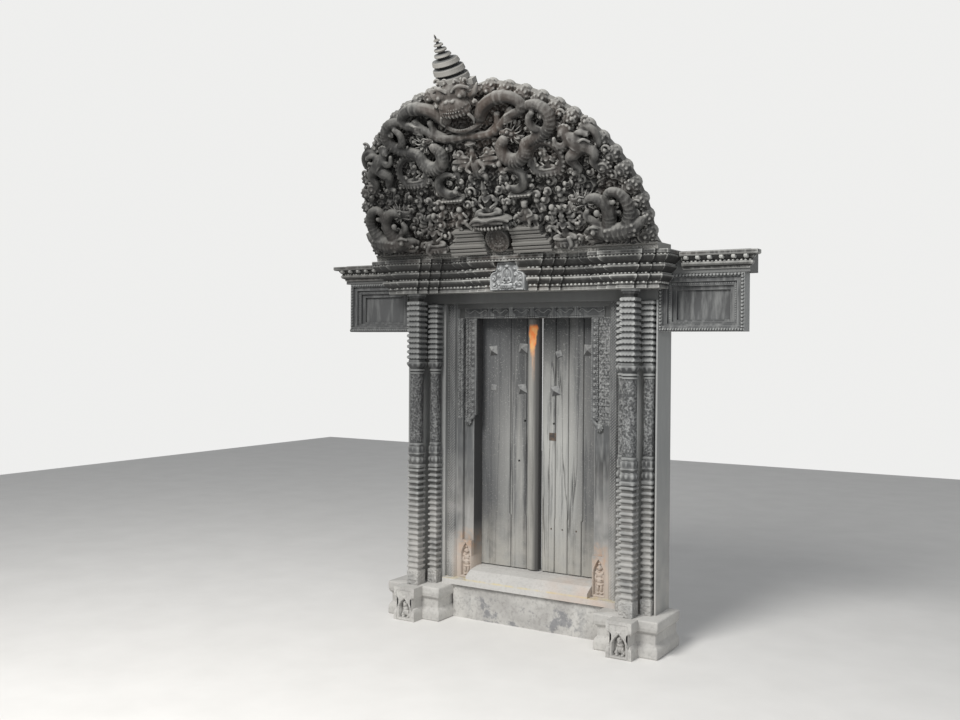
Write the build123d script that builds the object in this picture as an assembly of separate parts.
from build123d import *
import os
from math import atan2, cos, hypot, pi, radians, sin

# Carved timber temple door with its frame and the leaning carved arch (torana) over it.
# X runs to the right seen from the front, Y runs into the wall, Z is up.
# The origin is on the ground under the middle of the opening, in the plane of the wall's face.
# All sizes are in millimetres.

# Heights, from the ground up
plinth_height = 205
sill_beam_height = 35
sill_ledge_height = 70
opening_height = 1546
head_height = 89
beam_height = 260
cornice_height = 200
ear_beam_height = 120
ear_panel_height = 313

# Widths, from the middle outwards
opening_width = 824
jamb_width = 107
strip_width = 67
post_width = 250
ear_panel_width = 476

# Depths, zero at the wall's face and plus into the wall
frame_depth = 300
jamb_back = 203
jamb_front = 80
jamb_step = 24
jamb_ledge = 66
strip_front = 55
strip_chamfer = 12
post_front = 45
post_edge = 10
threshold_front = 35
sill_front = 15
sill_wear = 45
sill_worn_run = 130
ear_beam_depth = 140
ear_panel_depth = 100
ear_frame_step = 22
ear_frame_drop = 16
ear_frame_count = 4
ear_frame_rail = 20

# Columns
pillar_size = 85
pilaster_size = 66
pillar_setout = 90
pilaster_offset = 74
foot_height = 90
ridge_zone_height = 630
ridge_pitch = 40
collar_height = 165
shaft_height = 420
neck_height = 85
cap_height = 45
ridge_depth = 8
lotus_pitch = 36
pilaster_pitch = 90
lotus_overhang = 5
lotus_depth = 10.5
pilaster_gap = 0.3

# Plinths
plinth_front = 127
plinth_bay_front = 219
plinth_bay_width = 150
plinth_joint = 3
plinth_outer_reach = 62
plinth_recess = 18
niche_width = 78
niche_height = 122
niche_depth = 34
niche_margin = 16

# Main cornice in front of the beam
cornice_setout = 169
cornice_flare = 80
bay_step = 18
bay_ledge = 65
centre_bay_half = 170
pillar_bay_half = 50
plaque_width = 234
plaque_height = 165
plaque_front = 216
plaque_bed = 150

# Cornice over the ears
ear_cornice_height = 92
ear_cornice_setout = 12
ear_cornice_flare = 56
ear_cornice_gap = 8
ear_cornice_top_gap = 8
ear_overhang = 32
dentil_count = 6
dentil_size = 22
dentil_drop = 24

# Carving applied to the frame
border_width = 46
border_overhang = 22
border_thickness = 16
border_wrap = 52
border_length = 600
border_turn = 60
volute_rise = 6
volute_radius = 26
pendant_count = 5
pendant_pitch = 147
pendant_width = 96
pendant_depth = 26
pendant_board = 10
pendant_end_gap = 6
head_fillet = 26
guardian_height = 215
guardian_width = 84
guardian_recess = 20
guardian_margin = 10

# Leaves
leaf_thickness = 35
leaf_front_gap = 2
leaf_bottom_gap = 8
leaf_top_gap = 5
head_rebate = 29
meeting_gap = 18
meeting_line = 3
plank_gap = 2
left_seams = (-209, -96)
right_seams = (104, 191, 290)
pivot_inset = 25
heel_facet_count = 4
pintle_radius = 15
pintle_play = 1
socket_depth = 25
socket_end_play = 0.3
cut_past = 5
astragal_width = 76
astragal_bulge = 17
astragal_top_gap = 6
ledge_height = 90
ledge_depth = 28
ledge_end_gap = 25
ledge_margin = 150
boss_size = 58
boss_size_large = 64
boss_height = 26
boss_tip = 0.04
stub_size = 40
stub_height = 6
nail_radius = 6
nail_height = 3
nail_facet_count = 6
plate_size = 46
plate_thickness = 3
hole_size = 12
hole_depth = 20

# Places on the leaves, from the middle and up from the sill's ledge
left_boss_places = ((-333, 1347), (-119, 1363), (-125, 1113))
left_stub_place = (-327, 1115)
right_boss_places = ((324, 1355), (104, 1108))
right_stub_place = (126, 1331)
left_hole_places = ((-106, 917), (-145, 669))
right_hole_place = (93, 908)
plate_place = (86, 829)
nail_columns = (80, 155, 248)
nail_rise = 270

# Torana, the carved arch that leans out over the lintel
torana_lean = 32
torana_setout = 235
torana_width = 1840
torana_height = 985
torana_spring = 100
torana_thickness = 60
torana_base_height = 36
torana_base_depth = 200
scroll_count = 14
scroll_stop = 170
scroll_radius = 43
scroll_height = 46
medallion_radius = 75
medallion_depth = 60
medallion_height = 81
medallion_facet_count = 10
crown_height = 250
crown_radius = 105
crown_foot_width = 180
niche_ring_radius = 96
niche_ring_width = 22
niche_ring_depth = 44
niche_share = 0.4478
niche_drop = 272
niche_figure = 146
stage_gap = 13
stage_share = 0.3587
stage_height = 150
rider_share = 0.2413
rider_foot = 162
deity_height = 318
carving_gap = 4
feather_count = 3
feather_angle = 6
feather_turn = 32
feather_length = 100
lion_drop = 215
lion_arm_inset = 106
lion_snake_drop = 65
naga_reach = 226
makara_share = 0.7696
attendant_share = 0.4609
attendant_rise = 30
attendant_height = 178
flyer_share = 0.6826
flyer_drop = 346
flyer_height = 190
relief_front = 0.62
limb_front = 0.55
limb_depth = 1.45
tie_width = 40
tie_thickness = 8
tie_reach = 330
tie_rise = 690
tie_plate_size = 120
tie_hole_radius = 6.5
tie_hole_drop = 35

# Levels and lines worked out from the sizes above
z_plinth = plinth_height
z_sill = z_plinth + sill_beam_height
z_ledge = z_sill + sill_ledge_height
z_open = z_ledge + opening_height
z_beam = z_open + head_height
z_top = z_beam + beam_height
z_cornice = z_top - cornice_height
z_ear = z_top - ear_beam_height
x_open = opening_width / 2
x_jamb = x_open + jamb_width
x_strip = x_jamb + strip_width
x_post = x_strip + post_width
x_ear = x_post + ear_panel_width
x_column = x_strip + post_width / 2
x_bay_end = x_column + pillar_bay_half + 2 * bay_ledge
y_ledge = jamb_front + jamb_step
leaf_front = jamb_back + leaf_front_gap
leaf_back = leaf_front + leaf_thickness
leaf_bottom = z_ledge + leaf_bottom_gap
leaf_top = z_open + head_rebate - leaf_top_gap
x_pivot = x_open + pivot_inset
y_pivot = leaf_front + leaf_thickness / 2

throne_foot = medallion_height + medallion_radius + carving_gap
garuda_foot = throne_foot + deity_height + carving_gap
lion_foot = torana_height - lion_drop
garuda_height = lion_foot - lion_snake_drop - carving_gap - garuda_foot
niche_reach = niche_share * torana_width / 2
niche_rise = lion_foot - niche_drop
stage_reach = stage_share * torana_width / 2
rider_reach = rider_share * torana_width / 2
makara_reach = makara_share * torana_width / 2
attendant_reach = attendant_share * torana_width / 2
flyer_reach = flyer_share * torana_width / 2
flyer_rise = lion_foot - flyer_drop
lion_arm_reach = niche_reach - lion_arm_inset

lean = radians(torana_lean)
torana_origin = (0, -torana_setout, z_top + torana_base_height)
torana_plane = Plane(origin=torana_origin, x_dir=(1, 0, 0), z_dir=(0, -cos(lean), -sin(lean)))


# Basic forms

def box(x0, x1, y0, y1, z0, z1):
    """A plain block between two corners."""
    return Pos((x0 + x1) / 2, (y0 + y1) / 2, (z0 + z1) / 2) * Box(x1 - x0, y1 - y0, z1 - z0)


def bar(points, x0, x1):
    """A bar along X with an outline of (y, z) points."""
    return extrude(Plane.YZ.offset(x0) * make_face(Polyline(*points, close=True)), x1 - x0)


def front_prism(points, y0, y1):
    """A prism along Y with an outline of (x, z) points seen from the front."""
    outline = Plane.XZ.offset(-y1) * make_face(Polyline(*points, close=True))
    return extrude(outline, y1 - y0)


def post(points, z0, z1):
    """An upright prism with a plan outline of (x, y) points."""
    return extrude(Plane.XY.offset(z0) * make_face(Polyline(*points, close=True)), z1 - z0)


def flat_faces(corners):
    """A four-cornered side as one flat face, or as two where its corners don't lie in one plane."""
    p, q, r, t = (Vector(*c) for c in corners)
    normal = (q - p).cross(r - p)
    if abs(normal.dot(t - p)) < 1e-6 * normal.length:
        return [Face(Wire.make_polygon([p, q, r, t], close=True))]
    return [Face(Wire.make_polygon([p, q, r], close=True)), Face(Wire.make_polygon([p, r, t], close=True))]


def stack(sections):
    """A solid with flat sides through outlines that have as many points each."""
    ends = [Face(Wire.make_polygon([Vector(*p) for p in points], close=True)) for points in
            (sections[0], sections[-1])]
    faces = list(ends)
    for low, high in zip(sections, sections[1:]):
        for k in range(len(low)):
            n = (k + 1) % len(low)
            faces += flat_faces((low[k], low[n], high[n], high[k]))
    return Solid(Shell(faces))


def ring(count, radius, turn=0.0):
    """Corners of a regular outline round zero."""
    return [(radius * cos(turn + 2 * pi * k / count), radius * sin(turn + 2 * pi * k / count))
            for k in range(count)]


def relief(rows, u=0.0, base=0.0):
    """A flat-backed carving with a narrower front, from rows of height, half width and depth."""
    return stack([[(u - h, v, base), (u - h * relief_front, v, base + d), (u + h * relief_front, v, base + d),
                   (u + h, v, base)] for v, h, d in rows])


def scaled(rows, height, half, depth=1.0):
    """Rows of a carving from shares of its height, half width and depth."""
    return [(v * height, h * half, d * depth) for v, h, d in rows]


def facing(x, y, z):
    """Place for a carving that stands on a front face: its foot's middle, with its depth forward."""
    return Plane(origin=(x, y, z), x_dir=(1, 0, 0), z_dir=(0, -1, 0)).location


def fused(pieces):
    """One solid from pieces that run into each other."""
    return pieces[0].fuse(*pieces[1:]).clean() if len(pieces) > 1 else pieces[0]


def flip(shape):
    """The same piece on the other side of the middle."""
    return mirror(shape, Plane.YZ)


# Stone base

# Shares of the plinth's height and of its recess
plinth_profile = ((0.0, 0.0), (0.24, 0.0), (0.36, 0.8), (0.44, 1.0), (0.62, 1.0), (0.72, 0.1), (1.0, 0.0))


def moulded_block(x0, x1, front, back):
    """A block with a base course, a recessed face and a top slab on three sides."""
    sections = []
    for t, cut in plinth_profile:
        c, z = cut * plinth_recess, t * plinth_height
        sections.append([(x0 + c, -front + c, z), (x1 - c, -front + c, z),
                         (x1 - c, back, z), (x0 + c, back, z)])
    return stack(sections)


# Rows of small carvings: shares of their height, of their niche's half width, and depth
beast_rows = ((0.0, 0.74, 26), (0.14, 0.62, 26), (0.18, 0.5, 19), (0.54, 0.32, 14), (0.6, 0.46, 25),
              (0.76, 0.42, 25), (0.86, 0.2, 14))
guardian_rows = ((0.0, 0.3, 12), (0.2, 0.34, 12), (0.3, 0.62, 17), (0.36, 0.34, 14), (0.62, 0.52, 17),
                 (0.7, 0.22, 13), (0.76, 0.32, 17), (0.88, 0.28, 17), (0.95, 0.12, 10))
plaque_rows = ((0.0, 0.42, 12), (0.12, 0.46, 14), (0.2, 0.22, 12), (0.4, 0.26, 14), (0.46, 0.13, 12),
               (0.62, 0.12, 12), (0.7, 0.05, 6))


def pointed_arch(x, z, half, height):
    """Outline of a pointed niche, standing on level z."""
    spring, shoulder = z + height * 0.6, z + height * 0.85
    return [(x - half, z), (x + half, z), (x + half, spring), (x + half * 0.6, shoulder), (x, z + height),
            (x - half * 0.6, shoulder), (x - half, spring)]


def plinth():
    """Right plinth: a set-back block and a bay in front with a pointed niche and its beast."""
    block = moulded_block(x_jamb - plinth_joint, x_post + plinth_outer_reach, plinth_front, jamb_back)
    reach = plinth_bay_width / 2
    bay = moulded_block(x_column - reach, x_column + reach, plinth_bay_front, 0)
    half = niche_width / 2
    z_low = plinth_height * 0.07
    face = box(x_column - half - niche_margin, x_column + half + niche_margin, -plinth_bay_front, 0,
               0, plinth_height * 0.9)
    hollow = front_prism(pointed_arch(x_column, z_low, half, niche_height),
                         -plinth_bay_front - cut_past, -plinth_bay_front + niche_depth)
    lion = (facing(x_column, niche_depth - plinth_bay_front, z_low)
            * relief(scaled(beast_rows, niche_height, half)))
    return fused([fused([block, bay, face]).cut(hollow), lion])


def threshold_stone():
    """Riser stone between the plinths."""
    reach = x_jamb - plinth_joint
    return box(-reach, reach, threshold_front, frame_depth, 0, z_plinth)


def socket(z0, z1):
    """The two round sockets that the leaves' pintles turn in."""
    one = Pos(x_pivot, y_pivot, (z0 + z1) / 2) * Cylinder(pintle_radius + pintle_play, z1 - z0)
    return [one, flip(one)]


def door_sill():
    """Sill beam under the frame with a worn ledge between the jambs and a bed for the pintles."""
    beam = box(-x_strip, x_strip, sill_front, frame_depth, z_plinth, z_sill)
    worn = ((sill_front, z_sill), (sill_front, z_ledge - sill_wear),
            (sill_front + sill_worn_run * 0.4, z_ledge - sill_wear * 0.3),
            (sill_front + sill_worn_run, z_ledge), (jamb_back, z_ledge), (jamb_back, z_sill))
    ledge = bar(worn, -x_open, x_open)
    bed = box(-x_jamb, x_jamb, jamb_back, frame_depth, z_sill, z_ledge)
    return fused([beam, ledge, bed]).cut(*socket(z_ledge - socket_depth, z_ledge + cut_past))


# Columns

def square(x, y, half, z):
    """Corners of a square round a point at one level."""
    return [(x - half, y - half, z), (x + half, y - half, z),
            (x + half, y + half, z), (x - half, y + half, z)]


def ridges(x, y, half, z0, z1, pitch, depth):
    """Outlines of square ridge mouldings one over the other, each with a sharp edge."""
    count = max(1, round((z1 - z0) / pitch))
    step = (z1 - z0) / count
    sections = [square(x, y, half - depth, z0)]
    for k in range(count):
        sections.append(square(x, y, half, z0 + (k + 0.55) * step))
        sections.append(square(x, y, half - depth, z0 + (k + 1) * step))
    return sections


# Mouldings of a column as shares of their own height and of half the column's size
collar_profile = ((0.14, 1.0), (0.42, 0.86), (0.72, 1.04), (1, 0.9))
neck_profile = ((0, 0.92), (0.3, 1.1), (0.6, 0.84), (1, 1.1))
cap_profile = ((0, 0.74), (0.4, 0.8), (0.7, 1), (1, 1))


def column(x, y, size, z_end, cap, pitch, high_pitch):
    """A column: foot block, ridges, carved collar, eight-sided shaft, neck, lotus rings and cap."""
    half = size / 2
    z_foot = z_plinth + foot_height
    z_collar = z_foot + ridge_zone_height
    z_shaft = z_collar + collar_height
    z_neck = z_shaft + shaft_height
    z_lotus = z_neck + neck_height
    low = [square(x, y, half, z_plinth), square(x, y, half, z_foot)]
    low += ridges(x, y, half, z_foot, z_collar, pitch, ridge_depth)
    low += [square(x, y, half * f, z_collar + t * collar_height) for t, f in collar_profile]
    levels = [(z_shaft, neck_profile[0][1])] + [(z_neck + t * neck_height, f) for t, f in neck_profile]
    shaft = [[(x + px, y + py, z) for px, py in ring(8, half * f, pi / 8)] for z, f in levels]
    high = ridges(x, y, half + lotus_overhang, z_lotus, z_end - cap, high_pitch, lotus_depth)
    if cap:
        high += [square(x, y, half * f, z_end - cap + t * cap) for t, f in cap_profile]
    return fused([stack(low), stack(shaft), stack(high)])


def front_pillar():
    return column(x_column, -pillar_setout, pillar_size, z_cornice, cap_height, ridge_pitch, lotus_pitch)


def pilaster(side):
    """Column behind the front pillar, on its inner side (-1) or outer side (1)."""
    x = x_column + side * pilaster_offset
    y = post_front - pilaster_size / 2 - lotus_overhang - pilaster_gap
    return column(x, y, pilaster_size, z_beam, 0, pilaster_pitch, pilaster_pitch)


# Frame members

def back_post():
    """Board behind the columns, with a raised carved edge on its outer side."""
    x = x_post - post_edge
    return post([(x_strip, post_front), (x, post_front), (x, 0), (x_post, 0),
                 (x_post, jamb_back), (x_strip, jamb_back)], z_plinth, z_beam)


def carved_strip():
    """Upright strip between the post and the jamb, rounded over its face."""
    y, c = strip_front + strip_chamfer, strip_chamfer
    return post([(x_jamb, jamb_back), (x_jamb, y), (x_jamb + c, strip_front), (x_strip - 2 * c, strip_front),
                 (x_strip - c, y), (x_strip, y), (x_strip, jamb_back)], z_sill, z_beam)


def jamb():
    """Right jamb in two steps, with an arched niche and its guardian at the foot."""
    x_step = x_open + jamb_ledge
    body = post([(x_open, jamb_back), (x_open, y_ledge), (x_step, y_ledge), (x_step, jamb_front),
                 (x_jamb, jamb_front), (x_jamb, jamb_back)], z_sill, z_open)
    z_foot = z_sill + guardian_margin
    block = box(x_open, x_open + guardian_width, jamb_front, y_ledge,
                z_sill, z_foot + guardian_height + guardian_margin)
    x, half = x_open + guardian_width / 2, guardian_width / 2 - guardian_margin
    hollow = front_prism(pointed_arch(x, z_foot, half, guardian_height),
                         jamb_front - cut_past, jamb_front + guardian_recess)
    figure = (facing(x, jamb_front + guardian_recess, z_foot)
              * relief(scaled(guardian_rows, guardian_height, half)))
    return fused([fused([body, block]).cut(hollow), figure])


def door_head():
    """Head over the opening, with a rebate for the leaves and the upper sockets."""
    section = ((jamb_front, z_beam), (jamb_front, z_beam - head_fillet), (y_ledge, z_beam - head_fillet),
               (y_ledge, z_open), (jamb_back, z_open), (jamb_back, z_open + head_rebate),
               (frame_depth, z_open + head_rebate), (frame_depth, z_beam))
    z0 = z_open + head_rebate
    return bar(section, -x_jamb, x_jamb).cut(*socket(z0 - cut_past, z0 + socket_depth))


def scroll_border():
    """Carved border on the upper half of the jamb, which turns outwards into a volute at its lower end."""
    x0, x1 = x_open - border_overhang, x_open - border_overhang + border_width
    y0, y1 = y_ledge - border_thickness, y_ledge
    z_end = z_open - border_length
    z_turn = z_end + border_turn
    r = volute_radius
    volute_x, volute_z = x_open + r * 1.35, z_end - r * 1.55
    band = front_prism([(x0, z_open), (x0, z_turn), (volute_x - r * 0.9, volute_z + r * 0.3),
                        (volute_x, volute_z + r * 0.9), (x1, z_turn - border_turn / 2), (x1, z_open)], y0, y1)
    volute = front_prism([(volute_x + px, volute_z + pz) for px, pz in ring(10, r)], y0 - volute_rise, y1)
    wrap = box(x0, x_open, y1, y1 + border_wrap, z_turn, z_open)
    return fused([band, volute, wrap])


# Shares of a pendant's height, half width and depth, from its broad foot up
pendant_rows = ((0, 1, 1), (0.3, 0.8, 1), (0.62, 0.36, 0.8), (1, 0.44, 0.6))


def head_pendants():
    """Board over the opening with a row of bell-shaped pendants."""
    reach = x_open + jamb_ledge - pendant_end_gap
    z0, z1 = z_open, z_beam - head_fillet
    pieces = [box(-reach, reach, y_ledge - pendant_board, y_ledge, z0, z1)]
    bell = relief(scaled(pendant_rows, z1 - z0, pendant_width / 2, pendant_depth - pendant_board))
    for k in range(pendant_count):
        x = (k - (pendant_count - 1) / 2) * pendant_pitch
        pieces.append(facing(x, y_ledge - pendant_board, z0) * bell)
    return fused(pieces)


# Lintel

def lintel_beam():
    """Long beam over the whole door, thinner where it reaches out as the ears."""
    x1 = x_ear + ear_overhang
    main = box(-x_post, x_post, 0, frame_depth, z_beam, z_top)
    return fused([main, box(-x1, -x_post, 0, ear_beam_depth, z_ear, z_top),
                  box(x_post, x1, 0, ear_beam_depth, z_ear, z_top)])


def cornice_outline(flare, z):
    """Plan outline of the cornice at one level, with its stepped bays, pushed out by flare."""
    front = -cornice_setout - flare
    half = [(centre_bay_half + k * bay_ledge + flare, front + k * bay_step) for k in range(3)]
    edge = [(x_column - pillar_bay_half - k * bay_ledge - flare, front + k * bay_step) for k in (2, 1, 0)]
    outer = [(x_column + pillar_bay_half + k * bay_ledge + flare, front + k * bay_step) for k in range(3)]
    right = []
    for x, y in half:
        right += [(x, y), (x, y + bay_step)]
    for x, y in edge:
        right += [(x, y + bay_step), (x, y)]
    for k, (x, y) in enumerate(outer):
        right += [(x, y), (x, y + bay_step if k < 2 else 0)]
    left = [(-x, y) for x, y in reversed(right)]
    return [(x, y, z) for x, y in left + right]


# Height and flare of the cornice's mouldings, as shares of its height and of its full flare
cornice_foot_profile = ((0, 0.03), (0.13, 0.03), (0.33, 0.36), (0.42, 0.22))
cornice_top_profile = (cornice_foot_profile[-1], (0.57, 0.64), (0.65, 0.5), (0.84, 0.96), (1.0, 1.0))


def cornice(profile):
    """One course of the cornice, with the mouldings of its profile."""
    sections = [cornice_outline(f * cornice_flare, z_cornice + t * cornice_height)
                for t, f in profile]
    return stack(sections).cut(plaque(cornice_setout + cornice_flare + cut_past))


def plaque_outline():
    """Outline of the plaque seen from the front, narrower in steps towards its top."""
    w, h, z = plaque_width / 2, plaque_height, z_cornice
    right = [(w * f, z + h * t) for t, f in ((0, 1), (0.5, 1), (0.66, 0.86), (0.7, 0.66), (1, 0.6))]
    return right + [(-x, level) for x, level in reversed(right)]


def plaque(front):
    return front_prism(plaque_outline(), -front, -plaque_bed)


def lintel_plaque():
    """Carved plaque let into the middle of the cornice, with a seated figure in low relief."""
    figure = (facing(0, -plaque_front, z_cornice + plaque_height * 0.08)
              * relief(scaled(plaque_rows, plaque_height, plaque_width / 2)))
    return fused([plaque(plaque_front), figure])


def ear_panel():
    """Board under the lintel's ear with nested frames stepping back to a plain field."""
    board = box(x_post, x_ear, 0, ear_panel_depth, z_ear - ear_panel_height, z_ear)
    cuts = []
    for k in range(1, ear_frame_count + 1):
        m = k * ear_frame_step
        cuts.append(box(x_post + m, x_ear - m, -cut_past, k * ear_frame_drop,
                        z_ear - ear_panel_height + ear_frame_rail + m * 0.5, z_ear - m))
    return board.cut(*cuts)


# Height and flare of the ear cornice's mouldings, as shares
ear_cornice_profile = ((0, 0.0), (0.16, 0.05), (0.22, 0.3), (0.4, 0.38), (0.46, 0.2), (0.72, 0.5),
                       (0.8, 1.0), (1, 1))


def ear_cornice():
    """Cornice over the ear, with a row of dentils under its top slab."""
    x0 = x_bay_end + cornice_flare + ear_cornice_gap
    z0 = z_top - ear_cornice_top_gap - ear_cornice_height
    sections = []
    for t, f in ear_cornice_profile:
        p, z = f * ear_cornice_flare, z0 + t * ear_cornice_height
        x1, y0 = x_ear + ear_overhang + p, -ear_cornice_setout - p
        sections.append([(x0, y0, z), (x1, y0, z), (x1, 0, z), (x0, 0, z)])
    pieces = [stack(sections)]
    pitch = (x_ear + ear_overhang - x0) / dentil_count
    y0 = -ear_cornice_setout - ear_cornice_flare * 0.85
    z_slab = z0 + ear_cornice_height * ear_cornice_profile[-2][0]
    for k in range(dentil_count):
        x = x0 + (k + 0.5) * pitch
        pieces.append(box(x - dentil_size / 2, x + dentil_size / 2, y0, -ear_cornice_setout,
                          z_slab - dentil_drop, z_slab + ear_cornice_height * 0.1))
    return fused(pieces)


# Leaves

def plank(x0, x1):
    """One upright board of a leaf, with half a joint's gap left at each side."""
    return box(x0 + plank_gap / 2, x1 - plank_gap / 2, leaf_front, leaf_back, leaf_bottom, leaf_top)


def hole(place):
    """A small square hole in a plank's face."""
    x, z = place[0], z_ledge + place[1]
    return box(x - hole_size / 2, x + hole_size / 2, leaf_front - cut_past, leaf_front + hole_depth,
               z - hole_size / 2, z + hole_size / 2)


def hinge_plank(seam):
    """Right hinge plank with its heel planed round, and a pintle at each end on the pivot line."""
    x0 = seam + plank_gap / 2
    heel = ring(2 * heel_facet_count, leaf_thickness / 2, -pi / 2)[:heel_facet_count + 1]
    board = post([(x0, leaf_front)] + [(x_pivot + px, y_pivot + py) for px, py in heel] + [(x0, leaf_back)],
                 leaf_bottom, leaf_top)
    z0 = z_ledge - socket_depth + socket_end_play
    z1 = z_open + head_rebate + socket_depth - leaf_top_gap
    pintle = Pos(x_pivot, y_pivot, (z0 + z1) / 2) * Cylinder(pintle_radius, z1 - z0)
    return fused([board, pintle])


left_edge = meeting_line - meeting_gap / 2
right_edge = meeting_line + meeting_gap / 2


def left_meeting_plank():
    """Meeting plank of the left leaf with its half-round cover strip, carved with it."""
    board = plank(left_seams[1], left_edge + plank_gap / 2)
    x0 = left_edge - astragal_width
    half = astragal_width / 2
    curve = ThreePointArc((x0, leaf_front), (x0 + half, leaf_front - astragal_bulge), (left_edge, leaf_front))
    face = make_face([curve, Line((left_edge, leaf_front), (x0, leaf_front))])
    strip = extrude(Plane.XY.offset(leaf_bottom) * face, z_open - astragal_top_gap - leaf_bottom)
    return fused([board, strip])


def right_meeting_plank():
    """Plain meeting plank of the right leaf, with a small hole."""
    return plank(right_edge - plank_gap / 2, right_seams[0]).cut(hole(right_hole_place))


def ledges(x0, x1):
    """The three cross battens on the back of a leaf."""
    z_low = leaf_bottom + ledge_margin
    z_high = leaf_top - ledge_margin - ledge_height
    return Compound([box(x0, x1, leaf_back, leaf_back + ledge_depth, z, z + ledge_height)
                     for z in (z_low, (z_low + z_high) / 2, z_high)])


def boss(place, size, height):
    """A four-sided pointed boss on the face of a leaf."""
    x, z = place[0], z_ledge + place[1]
    return stack([[(x - r, y, z - r), (x + r, y, z - r), (x + r, y, z + r), (x - r, y, z + r)]
                  for y, r in ((leaf_front, size / 2), (leaf_front - height, size * boss_tip))])


def left_bosses():
    """Three whole bosses and the worn stub of a fourth."""
    whole = [boss(place, boss_size, boss_height) for place in left_boss_places]
    return Compound(whole + [boss(left_stub_place, stub_size, stub_height)])


def right_bosses():
    """Two whole bosses, the upper one larger, and the stub of a third: the fourth is gone."""
    high, low = right_boss_places
    return Compound([boss(high, boss_size_large, boss_height), boss(low, boss_size, boss_height),
                     boss(right_stub_place, stub_size, stub_height)])


def lock_plate():
    """Square iron plate on the right leaf."""
    x, z = plate_place[0], z_ledge + plate_place[1]
    return box(x - plate_size / 2, x + plate_size / 2, leaf_front - plate_thickness, leaf_front,
               z - plate_size / 2, z + plate_size / 2)


def nails():
    """Three nail heads low on the right leaf."""
    heads = []
    for x in nail_columns:
        heads.append(stack([[(x + px, y, z_ledge + nail_rise + pz) for px, pz in ring(nail_facet_count, r)]
                            for y, r in ((leaf_front, nail_radius),
                                         (leaf_front - nail_height, nail_radius * 0.6))]))
    return Compound(heads)


# Torana carving, drawn flat: u across, v up the panel, w out of its face

def tube(path, radii):
    """A thick snaking limb along a path of (u, v) points, flat at its back."""
    sections = []
    last = len(path) - 1
    for k, (u, v) in enumerate(path):
        ua, va = path[max(0, k - 1)]
        ub, vb = path[min(last, k + 1)]
        turn = atan2(vb - va, ub - ua) + pi / 2
        r = radii[0] + (radii[1] - radii[0]) * k / last
        sections.append([(u + r * a * cos(turn), v + r * a * sin(turn), r * w)
                         for a, w in ((-1, 0), (-limb_front, limb_depth), (limb_front, limb_depth), (1, 0))])
    return stack(sections)


def arc_path(u, v, radius, start, end, count, grow=0.0):
    """Points round a centre from one angle to another, opening out by grow."""
    return [(u + (radius + grow * k / count) * cos(radians(start + (end - start) * k / count)),
             v + (radius + grow * k / count) * sin(radians(start + (end - start) * k / count)))
            for k in range(count + 1)]


def drum(u, v, radius0, radius1, w0, w1, sides):
    """A short many-sided boss that stands out of the panel."""
    return stack([[(u + pu, v + pv, w) for pu, pv in ring(sides, r, pi / sides)]
                  for r, w in ((radius0, w0), (radius1, w1))])


def on_torana(shape):
    """Put a carving that was drawn flat on the leaning panel."""
    return torana_plane.location * shape


# Seated figure with its lotus: shares of its height without the crown
seated_rows = ((0, 0.3, 0.34), (0.1, 0.42, 0.44), (0.2, 0.38, 0.4), (0.36, 0.26, 0.26), (0.38, 0.13, 0.2),
               (0.68, 0.2, 0.24), (0.72, 0.07, 0.18), (0.76, 0.11, 0.24), (0.92, 0.12, 0.24),
               (1.14, 0.03, 0.1))
kneeling_rows = ((0.28, 0.14, 0.24), (0.66, 0.2, 0.26), (0.7, 0.08, 0.2), (0.74, 0.11, 0.26),
                 (0.86, 0.12, 0.24), (1.0, 0.05, 0.12))


def seated_figure(u, v, s):
    """A calm seated figure on a lotus, s high without its crown."""
    pieces = [Pos(u, v, 0) * relief(scaled(seated_rows, s, s, s))]
    for side in (-1, 1):
        pieces.append(tube([(u + side * 0.17 * s, v + 0.66 * s), (u + side * 0.31 * s, v + 0.47 * s),
                            (u + side * 0.14 * s, v + 0.34 * s)], (0.07 * s, 0.06 * s)))
    return fused(pieces)


def kneeling_figure(u, v, s):
    """A figure that kneels and flies to the left, s high, with a round rosette behind it."""
    return fused([Pos(u, v, 0) * relief(scaled(kneeling_rows, s, s, s)),
                  tube([(u + 0.5 * s, v + 0.04 * s), (u + 0.18 * s, v + 0.04 * s),
                        (u - 0.12 * s, v + 0.16 * s), (u + 0.04 * s, v + 0.36 * s)], (0.08 * s, 0.14 * s)),
                  tube([(u - 0.14 * s, v + 0.6 * s), (u - 0.34 * s, v + 0.46 * s),
                        (u - 0.4 * s, v + 0.64 * s)], (0.07 * s, 0.06 * s)),
                  drum(u + 0.42 * s, v + 0.24 * s, 0.17 * s, 0.13 * s, 0, 0.24 * s, 8)])


def scroll_places():
    """Centres of the right border scrolls, evenly spaced from the foot up, and the way out of each."""
    a, b = torana_width / 2 - scroll_radius, torana_height - torana_spring - scroll_radius
    line = [(a, scroll_radius, 0.0), (a, torana_spring, 0.0)]
    for k in range(1, 90):
        turn = pi / 2 * k / 90
        line.append((a * cos(turn), torana_spring + b * sin(turn), atan2(sin(turn) / b, cos(turn) / a)))
    line = [p for p in line if p[0] > scroll_stop]
    runs = [0.0]
    for (u0, v0, out0), (u1, v1, out1) in zip(line, line[1:]):
        runs.append(runs[-1] + hypot(u1 - u0, v1 - v0))
    places = []
    for k in range(scroll_count):
        target = runs[-1] * k / (scroll_count - 1)
        n = next(i for i in range(1, len(runs)) if runs[i] >= target - 1e-6)
        share = (target - runs[n - 1]) / (runs[n] - runs[n - 1])
        places.append(tuple(p + share * (q - p) for p, q in zip(line[n - 1], line[n])))
    return places


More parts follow.
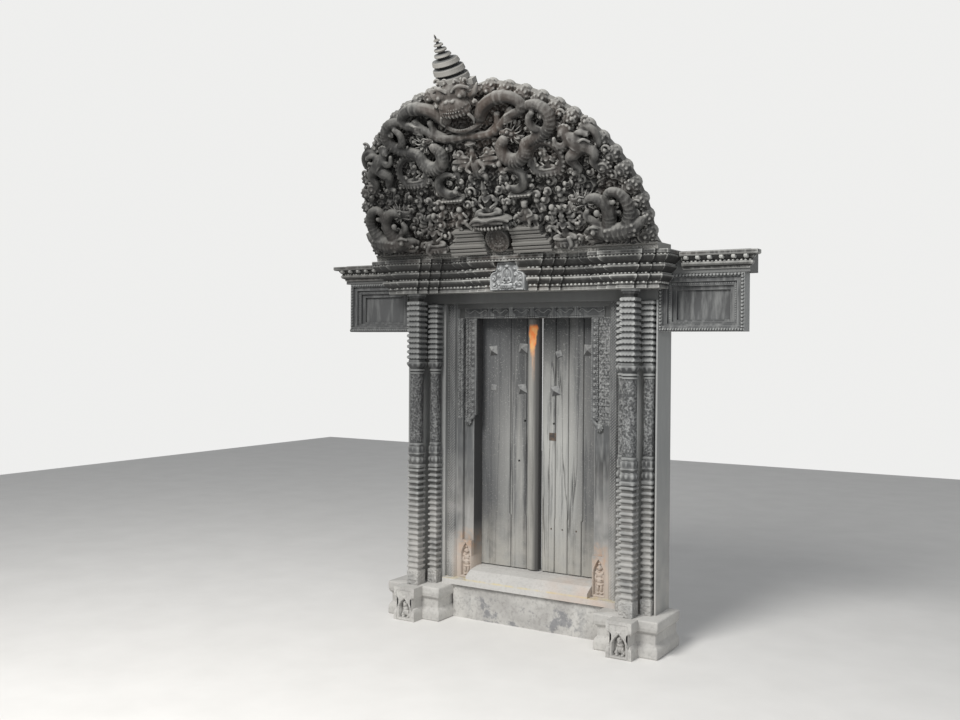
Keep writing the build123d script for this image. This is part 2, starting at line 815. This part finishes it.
def panel_outline():
    """Edge of the panel, scalloped round the scrolls, with a flat foot for the crown."""
    foot = crown_foot_width / 2
    right = [(torana_width / 2, -torana_thickness)]
    for u, v, out in scroll_places():
        right += [(u + scroll_radius * cos(out + turn), v + scroll_radius * sin(out + turn))
                  for turn in (-0.9, 0.0, 0.9)]
    right += [(foot, torana_height - scroll_radius), (foot, torana_height)]
    return right + [(-u, v) for u, v in reversed(right)]


rider_rows = ((0, 52, 62), (53, 44, 66), (56, 18, 44), (98, 26, 56), (104, 16, 54), (138, 12, 40))


def riders():
    """Small riders on beasts beside the throne, carved with the panel."""
    right = relief([(v + rider_foot, h, d) for v, h, d in rider_rows], rider_reach)
    return [right, flip(right)]


def stages():
    """Moulded stages on both sides of the medallion, carved with the panel."""
    pieces = []
    u0 = medallion_radius + stage_gap
    for inset, v0, v1, w in ((0, 0, 62, 58), (30, 62, 84, 40), (50, 84, stage_height, 54)):
        right = box(u0, stage_reach - inset, v0, v1, -5, w)
        pieces += [right, flip(right)]
    return pieces


def flat_panel():
    """Panel with its border of scrolls, the stages at its foot and the riders."""
    outline = make_face(Polyline(*panel_outline(), close=True))
    pieces = [extrude(Plane.XY.offset(-torana_thickness) * outline, torana_thickness)]
    for u, v, out in scroll_places():
        for side in (-1, 1):
            pieces.append(drum(side * u, v, scroll_radius * 0.94, scroll_radius * 0.6, 0, scroll_height, 6))
    return fused(pieces + stages() + riders())


def torana_panel(panel):
    """The panel leaning forward, with its foot cut level to stand on the base board."""
    reach = torana_width
    return on_torana(panel).cut(box(-reach, reach, -reach, reach, 0, torana_origin[2]))


def torana_base():
    """Board under the torana, with a hollow moulding along its front."""
    y0, y1, h = -torana_setout, -torana_setout + torana_base_depth, torana_base_height
    section = ((y0, z_top + h), (y0, z_top + h * 0.72), (y0 + 9, z_top + h * 0.62), (y0 + 9, z_top),
               (y1, z_top), (y1, z_top + h))
    return bar(section, -torana_width / 2, torana_width / 2)


# Crown: shares of its height and radius, from the broad foot to the point
crown_profile = ((0.0, 0.92), (0.05, 1.0), (0.18, 0.94), (0.2, 0.8), (0.22, 0.87), (0.36, 0.8), (0.38, 0.66),
                 (0.4, 0.73), (0.54, 0.64), (0.57, 0.34), (0.63, 0.42), (0.71, 0.24), (0.77, 0.3),
                 (0.84, 0.14), (1.0, 0.04))


def torana_crown():
    """Tiered conical crown over the lion face: broad rings, small rings and a point."""
    w = -torana_thickness / 2
    sections = []
    for t, f in crown_profile:
        v = torana_height + t * crown_height
        sections.append([(pu, v, w + pw) for pu, pw in ring(8, crown_radius * f, pi / 8)])
    return stack(sections)


medallion_rows = ((0.0, 0.4, 0), (0.2, 0.3, -0.04), (0.26, 0.14, -0.08), (0.56, 0.22, -0.06),
                  (0.62, 0.09, -0.08), (0.84, 0.1, -0.06), (1.0, 0.04, -0.14))


def torana_medallion():
    """Round medallion with a raised rim and a small seated figure."""
    v, r, w = medallion_height, medallion_radius, medallion_depth
    disc = drum(0, v, r, r * 0.96, 0, w, medallion_facet_count)
    inner = drum(0, v, r * 0.8, r * 0.8, w - 12, w + 5, medallion_facet_count)
    figure = relief([(v + (t - 0.6) * r, h * r, w + d * r) for t, h, d in medallion_rows])
    return fused([disc.cut(inner), figure])


# Throne and deity: share of their height, half width and depth
throne_rows = ((0, 112, 96), (0.151, 144, 120), (0.289, 128, 104), (0.299, 98, 92), (0.434, 62, 66),
               (0.447, 25, 50), (0.673, 42, 58), (0.692, 13, 46), (0.711, 22, 56), (0.824, 24, 54),
               (0.836, 30, 56), (1, 6, 22))
throne_arm = ((34, 0.648, 15), (78, 0.503, 13), (36, 0.403, 12))


def central_deity():
    """Seated deity in front on a lotus throne of two tiers."""
    v = throne_foot
    pieces = [Pos(0, v, 0) * relief(scaled(throne_rows, deity_height, 1))]
    for side in (-1, 1):
        pieces.append(tube([(side * u, v + t * deity_height) for u, t, r in throne_arm],
                           (throne_arm[0][2], throne_arm[-1][2])))
    return fused(pieces)


# Bird-man: share of its height, half width and depth
garuda_rows = ((0.119, 20, 40), (0.301, 27, 52), (0.511, 34, 56), (0.53, 22, 60), (0.685, 22, 56),
               (0.703, 8, 34), (0.721, 10, 38), (0.776, 44, 52), (0.868, 8, 20))
beak_rows = ((0.521, 8, 84), (0.612, 6, 62))

# Radii of its wings, feathers and legs, as shares of its height
garuda_wing_share = 22 / 219
garuda_feather_share = 15 / 219
garuda_feather_growth = 2 / 219
garuda_leg_share = 15 / 219
garuda_claw_share = 10 / 219
garuda_ankle_share = 2 / 219


def garuda():
    """Bird-man with spread wings, under a small umbrella."""
    v, h = garuda_foot, garuda_height
    pieces = [Pos(0, v, 0) * relief(scaled(rows, h, 1)) for rows in (garuda_rows, beak_rows)]
    for side in (-1, 1):
        for k in range(feather_count):
            a = radians(feather_angle - feather_turn * k)
            tip = (side * (40 + feather_length * cos(a)), v + h * 0.484 + feather_length * 0.88 * sin(a))
            quill = (h * garuda_wing_share, h * (garuda_feather_share + garuda_feather_growth * k))
            pieces.append(tube([(side * 24, v + h * 0.457), tip], quill))
        leg = [(14, v + h * 0.2), (42, v + h * 0.09), (30, v + h * garuda_ankle_share)]
        pieces.append(tube([(side * u, t) for u, t in leg], (h * garuda_leg_share, h * garuda_claw_share)))
    return fused(pieces)


# Lion face: height above its foot, half width and depth
lion_rows = ((0, 80, 84), (24, 104, 118), (100, 118, 122), (106, 122, 98), (202, 84, 74))
nose_rows = ((58, 26, 146), (114, 15, 118))
fang_rows = ((-18, 5, 92), (26, 15, 104))


def kirtimukha():
    """Lion face at the top of the arch, with arms that hold a snake across its mouth."""
    v, reach = lion_foot, lion_arm_reach
    pieces = [Pos(0, v, 0) * relief(rows) for rows in (lion_rows, nose_rows)]
    for side in (-1, 1):
        pieces.append(drum(side * 60, v + 130, 34, 24, 70, 126, 6))
        pieces.append(Pos(side * 72, v, 0) * relief(fang_rows))
        arm = [(104, v + 34), (reach * 0.52, v + 78), (reach * 0.82, v + 84), (reach, v + 30),
               (reach - 30, v - 8)]
        pieces.append(tube([(side * u, t) for u, t in arm], (34, 24)))
    low, rise = v + 19 - lion_snake_drop, 60
    snake = [(reach - 16, low + rise), (reach * 0.59, low + 16), (80, low)]
    pieces.append(tube([(-u, t) for u, t in snake] + snake[::-1], (19, 19)))
    pieces.append(Pos(0, v, 0) * relief(((-50, 16, 40), (6, 30, 60))))
    return fused(pieces)


def naga():
    """Right snake: an outer coil, and an inner coil that rises to a dragon's head."""
    v = lion_foot
    outer = arc_path(niche_reach + 26, v - 94, 46, 150, -120, 5, 8)
    inner = arc_path(naga_reach, v - 164, 60, -150, 110, 5)
    neck = [(niche_reach + 12, v - 136), (naga_reach + 124, v - 154), (naga_reach + 46, v - 180)]
    head = Pos(naga_reach - 26, v - 106, 0) * relief(((0, 24, 58), (42, 38, 66)))
    return fused([tube(outer, (28, 20)), tube(neck, (20, 20)), tube(inner, (20, 26)), head])


def niche_deity():
    """Right arched shrine with a seated deity."""
    u, v, r = niche_reach, niche_rise, niche_ring_radius
    outer = arc_path(u, v, r, -52, 232, 7)
    inner = arc_path(u, v, r - niche_ring_width, 232, -52, 7)
    arch = extrude(make_face(Polyline(*outer, *inner, close=True)), niche_ring_depth)
    return fused([arch, seated_figure(u, v - r, niche_figure)])


def makara():
    """Right corner beast: a jaw low on the board, a body, a raised trunk that curls, and a dragon's head."""
    trunk = [(76, 110), (82, 190), (64, 236)] + arc_path(34, 290, 36, -30, 200, 4, -8)
    body = relief(((20, 112, 86), (84, 108, 104), (130, 64, 76)))
    head = relief(((250, 22, 58), (284, 34, 64)), -138)
    snout = relief(((252, 20, 48), (272, 16, 44)), -160)
    beast = fused([body, tube([(-78, 74), (-124, 48), (-152, 84)], (24, 12)), tube(trunk, (32, 14)),
                   drum(-54, 102, 22, 14, 60, 108, 6),
                   tube([(-58, 110), (-96, 176), (-84, 236), (-124, 268)], (34, 24)), head, snout])
    return Pos(makara_reach, 0, 0) * beast


def torana_ties():
    """Flat iron ties from the back of the panel to plates on the wall."""
    back = torana_plane.location * Pos(0, tie_rise, -torana_thickness)
    y, z = back.position.Y, back.position.Z
    half, t = tie_plate_size / 2, tie_thickness
    room = torana_width
    front_space = on_torana(Pos(0, tie_rise, room / 2 - torana_thickness) * Box(2 * room, 2 * room, room))
    ties = []
    for x in (-tie_reach, tie_reach):
        foot = on_torana(Pos(x, tie_rise, -torana_thickness - t / 2) * Box(tie_width, tie_plate_size, t))
        strap = box(x - tie_width / 2, x + tie_width / 2, y - tie_width, 0, z - t / 2, z + t / 2)
        plate = box(x - half, x + half, -t, 0, z - half, z + half)
        bolt = Pos(x, -t / 2, z - tie_hole_drop) * Rot(90, 0, 0) * Cylinder(tie_hole_radius, t * 3)
        ties.append(fused([plate, strap.cut(front_space), foot]).cut(bolt))
    return Compound(ties)


# Every piece by its name

def carved(shape):
    """A carving that was drawn flat, fitted round the panel's own relief and put in its place."""
    return on_torana(shape.cut(panel))


def pair(name, right, pieces):
    """Store a right piece and its mirror image."""
    pieces[name + "_right"] = right
    pieces[name + "_left"] = flip(right)


panel = flat_panel()
pieces = {
    "threshold_stone": threshold_stone(),
    "door_sill": door_sill(),
    "door_head": door_head(),
    "head_pendants": head_pendants(),
    "lintel_beam": lintel_beam(),
    "cornice_lower": cornice(cornice_foot_profile),
    "cornice_upper": cornice(cornice_top_profile),
    "lintel_plaque": lintel_plaque(),
    "torana_base": torana_base(),
    "torana_panel": torana_panel(panel),
    "torana_crown": on_torana(torana_crown()),
    "torana_medallion": carved(torana_medallion()),
    "torana_ties": torana_ties(),
    "central_deity": carved(central_deity()),
    "garuda": carved(garuda()),
    "kirtimukha": carved(kirtimukha()),
    "left_leaf_hinge_plank": flip(hinge_plank(-left_seams[0])),
    "left_leaf_middle_plank": plank(*left_seams).cut(*(hole(place) for place in left_hole_places)),
    "left_leaf_meeting_plank": left_meeting_plank(),
    "left_leaf_ledges": ledges(-x_pivot + ledge_end_gap, left_edge - ledge_end_gap),
    "left_leaf_bosses": left_bosses(),
    "right_leaf_hinge_plank": hinge_plank(right_seams[2]),
    "right_leaf_outer_plank": plank(right_seams[1], right_seams[2]),
    "right_leaf_inner_plank": plank(right_seams[0], right_seams[1]),
    "right_leaf_meeting_plank": right_meeting_plank(),
    "right_leaf_ledges": ledges(right_edge + ledge_end_gap, x_pivot - ledge_end_gap),
    "right_leaf_bosses": right_bosses(),
    "lock_plate": lock_plate(),
    "leaf_nails": nails(),
}
pair("plinth", plinth(), pieces)
pair("front_pillar", front_pillar(), pieces)
pair("inner_pilaster", pilaster(-1), pieces)
pair("outer_pilaster", pilaster(1), pieces)
pair("back_post", back_post(), pieces)
pair("carved_strip", carved_strip(), pieces)
pair("jamb", jamb(), pieces)
pair("scroll_border", scroll_border(), pieces)
pair("ear_panel", ear_panel(), pieces)
pair("ear_cornice", ear_cornice(), pieces)
pair("naga", carved(naga()), pieces)
pair("niche_deity", carved(niche_deity()), pieces)
pair("makara", carved(makara()), pieces)
pair("seated_attendant", carved(seated_figure(attendant_reach, attendant_rise, attendant_height)), pieces)
pair("flying_attendant", carved(kneeling_figure(flyer_reach, flyer_rise, flyer_height)), pieces)

os.makedirs("parts", exist_ok=True)
for name, shape in pieces.items():
    export_step(shape, f"parts/{name}.step")
print(len(pieces), "pieces")
